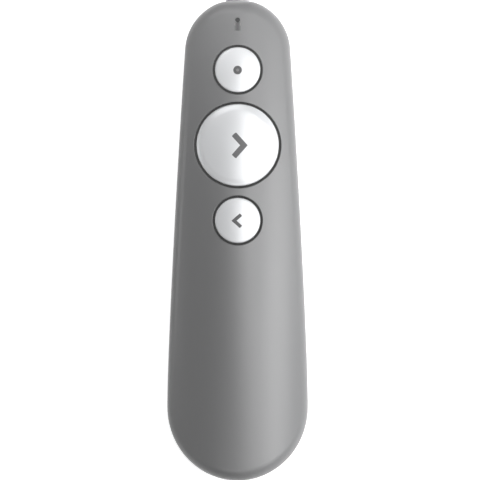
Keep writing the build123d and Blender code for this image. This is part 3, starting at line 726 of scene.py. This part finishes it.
def arrowhead(name, dome, first_end, tip, last_end, width, corner):
    """Section carried along first_end - tip - last_end, all (x, y) from the button's middle.

    A point is (1 - s) (end + v w n) + s (tip + v w m): s runs from 0 at an end to 1 at the tip, v across the
    stroke, w is half the width, n the arm's normal and m = (n1 + n2) / (1 + n1.n2) the mitre. Near an end
    v and the section's height are multiplied by (1 - (1 - d / corner)^4)^(1/4), d being the way to the end.
    """
    first_end, tip, last_end = (np.array(p, float) for p in (first_end, tip, last_end))
    into = (tip - first_end) / np.linalg.norm(tip - first_end)
    out = (last_end - tip) / np.linalg.norm(last_end - tip)
    first_normal = np.array((-into[1], into[0]))
    last_normal = np.array((-out[1], out[0]))
    mitre = (first_normal + last_normal) / (1 + first_normal @ last_normal)
    ease = np.linspace(0, 1, end_steps) ** 2 * corner
    straight = np.linspace(corner, np.linalg.norm(tip - first_end), arm_steps)[1:]
    way = np.concatenate([ease, straight])
    share = way / way[-1]
    shrink = (1 - (1 - np.clip(way / corner, 0, 1)) ** bluntness) ** (1 / bluntness)
    arms = []
    for end, normal in ((first_end, first_normal), (last_end, last_normal)):
        across = shrink[:, None] * section_across[None, :] * width / 2
        from_end = end + across[..., None] * normal
        from_tip = tip + across[..., None] * mitre
        plan = (1 - share)[:, None, None] * from_end + share[:, None, None] * from_tip
        rise = shrink[:, None] * section_height[None, :]
        arms.append(np.concatenate([plan, rise[..., None]], axis=-1))
    grid = np.concatenate([arms[0], arms[1][-2::-1]])
    grid[..., 1] += dome["middle"]
    grid[..., 2] += dome_height(grid[..., 0], grid[..., 1], **dome)
    return skin_of(name, grid, closed_along=False)


# %% The two arrowheads
next_mark = arrowhead(
    "next_mark", button_domes["next"],
    first_end=(-1.03, 2.97), tip=(1.72, -0.06), last_end=(-1.03, -3.14), width=1.55, corner=0.25,
)
back_mark = arrowhead(
    "back_mark", button_domes["back"],
    first_end=(0.93, -1.75), tip=(-0.97, -0.08), last_end=(0.93, 1.58), width=0.94, corner=0.28,
)

# %% [markdown]
# The laser's mark is a small ring, the same section carried round a circle, with a paler pip in its middle.
# The pip is a coin: only the outer half of the section is turned, from the middle underneath round the rim to
# the top's middle, and the two middles merge into closed poles.

# %% Laser ring and pip
ring_turn = full_turn(72)
ring_place = -0.08
ring_inner, ring_outer = 0.36, 1.17
pip_gap = 0.01

laser_dome = button_domes["laser"]
ring_radius = (ring_inner + ring_outer) / 2 + (ring_outer - ring_inner) / 2 * section_across
laser_mark = turned("laser_mark", laser_dome, ring_turn, ring_place, ring_radius, 1.0, section_height)

points = section_turn.size
outer_half = np.roll(np.arange(points), points // 4)[: points // 2 + 1]
pip_radius = (ring_inner - pip_gap) * section_across[outer_half]
pip_radius[[0, -1]] = 0
pip_height = section_height[outer_half]
laser_pip = turned("laser_pip", laser_dome, ring_turn, ring_place, pip_radius, 1.0, pip_height)

# %% [markdown]
# The inlays are a duller grey than the lacquer. The small signs are a shade darker than the large one, and
# the pip is paler than its ring. Each mark rides on the key that carries its button.

# %% Finish and seat the marks
mark_grey = (0.130, 0.130, 0.133)
dark_grey = (0.095, 0.095, 0.097)
pip_grey = (0.20, 0.20, 0.203)
mark_finish = finish("mark_grey", mark_grey, 0.06, 400, 0.42, 0.08, 7000, 0.15)
dark_mark_finish = finish("dark_mark_grey", dark_grey, 0.06, 400, 0.42, 0.08, 7000, 0.15)
pip_finish = finish("pip_grey", pip_grey, 0.06, 400, 0.42, 0.08, 7000, 0.15)
for piece, key, material in (
    (next_mark, "next_key", mark_finish),
    (back_mark, "back_key", dark_mark_finish),
    (laser_mark, "laser_key", dark_mark_finish),
    (laser_pip, "laser_key", pip_finish),
):
    piece.data.materials.append(material)
    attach(piece, key)
    print(piece.name, "in", material.name, "on", key)

# %% [markdown]
# ## Nose and status light
#
# The bezel round the laser is a paler grey ring with a dark filter window in it. The status light is a small
# smoked dot, with a narrow, barely darker bar behind it that lets the light spread. The bar has no sharp
# outline, so its darker grey fades out to both sides.

# %% Nose ring, window and dot
bezel_finish = finish("pale_bezel", (0.42, 0.42, 0.43), 0.04, 200, 0.35, 0.06, 7000, 0.12)
window_finish = finish(
    "laser_filter", (0.020, 0.010, 0.010), 0.10, 300, 0.08, 0.03, 400, 0.02, Coat_Weight=0.4
)
dot_finish = finish("smoked_dot", (0.045, 0.045, 0.047), 0.10, 300, 0.22, 0.05, 3000, 0.05)
dress(bezel_finish, "nose_bezel")
dress(window_finish, "laser_window")
dress(dot_finish, "status_lens")

# %% Light bar
bar_core, bar_edge = 0.1 * mm, 0.75 * mm
bar_rest = 0.1

bar_finish = finish("light_bar", cover_grey, 0.05, 70, 0.36, 0.06, 5200, 0.30)
bar_nodes = bar_finish.node_tree.nodes
bar_links = bar_finish.node_tree.links
bar_place = bar_nodes.new("ShaderNodeTexCoord")
bar_parts = bar_nodes.new("ShaderNodeSeparateXYZ")
bar_links.new(bar_place.outputs["Object"], bar_parts.inputs["Vector"])
bar_side = add_math(bar_nodes, bar_links, "ABSOLUTE", bar_parts.outputs["X"])
bar_fade = bar_nodes.new("ShaderNodeMapRange")
bar_fade.interpolation_type = "SMOOTHSTEP"
set_inputs(bar_fade, From_Min=bar_core, From_Max=bar_edge, To_Min=1.0, To_Max=bar_rest)
bar_links.new(bar_side, bar_fade.inputs["Value"])
mix_in(bar_finish, bar_fade.outputs["Result"], dark_grey)
dress(bar_finish, "light_bar")

# %% [markdown]
# ## What is inside
#
# With the door off, the cells, their contacts, the bay and the screws can be seen, and the receiver slides
# out of the tail. The rest stays hidden, but it gets the finish of the real thing all the same. One table
# holds them all: the values of a finish, what else its shader needs, and the solids that wear it.

# %% Metal, board and small parts

# Values: name, colour, drift, patches per metre, roughness, its swing, grains per metre, depth of the grain.
inner_finishes = (
    (("nickel_steel", (0.62, 0.61, 0.59), 0.08, 400, 0.26, 0.12, 2600, 0.10), {"Metallic": 1.0},
     ("usb_shell", "bridge_contact", "plus_contact", "minus_contact",
      "screw_left", "screw_right", "crystal")),
    (("turned_brass", (0.72, 0.55, 0.27), 0.08, 300, 0.28, 0.10, 2600, 0.10), {"Metallic": 1.0},
     ("laser_barrel",)),
    (("gold_plate", (0.90, 0.68, 0.30), 0.05, 300, 0.20, 0.08, 2600, 0.06), {"Metallic": 1.0},
     ("usb_strips", "laser_diode")),
    (("black_moulding", (0.018, 0.018, 0.019), 0.15, 120, 0.42, 0.10, 4200, 0.30), {},
     ("button_frame", "laser_switch", "next_switch", "back_switch", "radio_chip", "receiver_cap")),
    (("green_solder_mask", (0.012, 0.085, 0.038), 0.18, 500, 0.30, 0.10, 2200, 0.15), {"Coat_Weight": 0.3},
     ("main_board", "laser_driver")),
    (("chip_parts", (0.30, 0.22, 0.15), 0.25, 900, 0.40, 0.10, 4000, 0.20), {},
     ("passives",)),
    (("switch_plunger", (0.34, 0.30, 0.24), 0.08, 400, 0.35, 0.08, 5000, 0.15), {},
     ("laser_plunger", "next_plunger", "back_plunger")),
    (("led_body", (0.75, 0.72, 0.60), 0.06, 900, 0.25, 0.05, 4000, 0.10), {},
     ("status_led",)),
    (("plug_insulator", (0.80, 0.80, 0.78), 0.04, 300, 0.38, 0.06, 4200, 0.15), {},
     ("usb_insulator",)),
)
for values, plain, names in inner_finishes:
    dress(finish(*values, **plain), *names)

# %% [markdown]
# ## Cells and laser lens
#
# A cell is a steel can in a printed plastic jacket. The jacket here is plain: graphite over most of its
# length, with a copper band round the positive end. The ends and the positive pip are bare nickel steel. The
# colours change along the cell only, so they are chosen by the distance from its positive end.

# %% Jacketed cells
cell_length = 44.5
pip_length = 0.8
jacket_margin = 0.05
band_length = 11.0
nickel = (0.60, 0.59, 0.57)
graphite = (0.030, 0.031, 0.034)
copper = (0.56, 0.24, 0.10)


def along_cell(material, end, way, low, high):
    """Mask that is 1 between two distances from the positive end, in millimetres; way is +1 or -1 along Y."""
    nodes = material.node_tree.nodes
    links = material.node_tree.links
    place = nodes.new("ShaderNodeTexCoord")
    parts = nodes.new("ShaderNodeSeparateXYZ")
    links.new(place.outputs["Object"], parts.inputs["Vector"])
    gone = add_math(nodes, links, "SUBTRACT", end * mm, parts.outputs["Y"])
    gone = add_math(nodes, links, "MULTIPLY", gone, float(way))
    after = add_math(nodes, links, "GREATER_THAN", gone, low * mm)
    before = add_math(nodes, links, "LESS_THAN", gone, high * mm)
    return add_math(nodes, links, "MULTIPLY", after, before)


can_start = pip_length + jacket_margin
for name, way in (("cell_left", 1), ("cell_right", -1)):
    low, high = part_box(name)
    positive_end = (high.y if way == 1 else low.y) / mm
    jacket = finish(name + "_jacket", nickel, 0.05, 200, 0.24, 0.06, 1800, 0.06, Coat_Weight=0.4)
    jacket_nodes = jacket.node_tree.nodes
    jacket_links = jacket.node_tree.links
    is_jacket = along_cell(jacket, positive_end, way, can_start, cell_length - jacket_margin)
    is_band = along_cell(jacket, positive_end, way, can_start, can_start + band_length)
    mix_in(jacket, is_jacket, graphite)
    mix_in(jacket, is_band, copper)
    bare = add_math(jacket_nodes, jacket_links, "SUBTRACT", 1.0, is_jacket)
    shine = add_math(jacket_nodes, jacket_links, "MAXIMUM", bare, is_band)
    jacket_links.new(shine, jacket_nodes["Principled BSDF"].inputs["Metallic"])
    dress(jacket, name)

# %% Laser lens
lens_finish = finish(
    "moulded_glass",
    (0.95, 0.96, 0.96), 0.02, 300, 0.03, 0.02, 400, 0.01,
    Transmission_Weight=1.0, IOR=1.5,
)
dress(lens_finish, "laser_lens")
